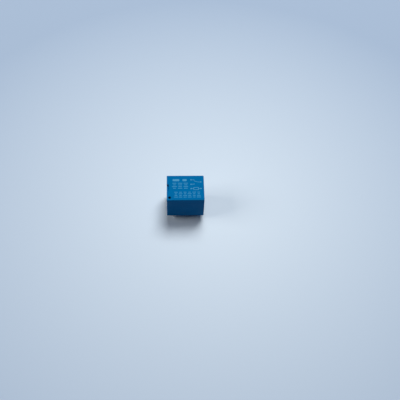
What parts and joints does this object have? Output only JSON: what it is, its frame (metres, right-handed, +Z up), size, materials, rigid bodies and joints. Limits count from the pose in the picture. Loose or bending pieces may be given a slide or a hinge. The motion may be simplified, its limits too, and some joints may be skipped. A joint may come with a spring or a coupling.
{
  "type": "pcb power relay",
  "caption": "Blue box-shaped power relay for a circuit board: a sealed moulded case over a coil, a hinged armature and a change-over contact, standing on solder pins.",
  "frame": {"origin": "middle of the case's bottom rim, on the face that sits on the circuit board", "axes": "+Z up out of the board, +X towards the hinge and common-pin end, -Y the front long side"},
  "size_m": [0.019, 0.0154, 0.0178],
  "materials": {
    "case_plastic": "moulded blue thermoplastic, satin gloss",
    "base_plastic": "moulded dark thermoplastic",
    "seal_resin": "cast sealing resin, glossy",
    "bobbin_plastic": "moulded natural nylon",
    "copper_wire": "enamelled copper wire",
    "tinned_pin": "tinned copper",
    "solder": "soft solder",
    "soft_iron": "turned soft iron",
    "plated_steel": "nickel-plated steel sheet",
    "rivet_brass": "brass",
    "terminal_copper": "tinned copper alloy sheet",
    "contact_silver": "silver alloy",
    "spring_bronze": "phosphor bronze leaf"
  },
  "bodies": {
    "frame": {"cover": "case_plastic", "base": "base_plastic", "seal": "seal_resin", "bobbin": "bobbin_plastic", "winding": "copper_wire", "coil_lead_front": "copper_wire", "coil_lead_rear": "copper_wire", "coil_pin_front": "tinned_pin", "coil_pin_rear": "tinned_pin", "solder_joints": "solder", "core": "soft_iron", "yoke": "plated_steel", "yoke_rivets": "rivet_brass", "common_terminal": "terminal_copper", "normally_closed_terminal": "terminal_copper", "normally_closed_contact": "contact_silver", "normally_open_terminal": "terminal_copper", "normally_open_contact": "contact_silver"},
    "armature": {"armature": "plated_steel", "contact_spring": "spring_bronze", "armature_rivets": "rivet_brass", "moving_contact": "contact_silver"}
  },
  "joints": [
    {"name": "armature_hinge", "type": "hinge", "parent": "frame", "child": "armature", "pos_m": [0.0074, 0, 0.01025], "axis": [0, -1, 0], "range_deg": [0, 2], "stiffness_Nm_per_rad": 0.002, "springref_deg": -20.05, "deforming": ["contact_spring"]}
  ]
}
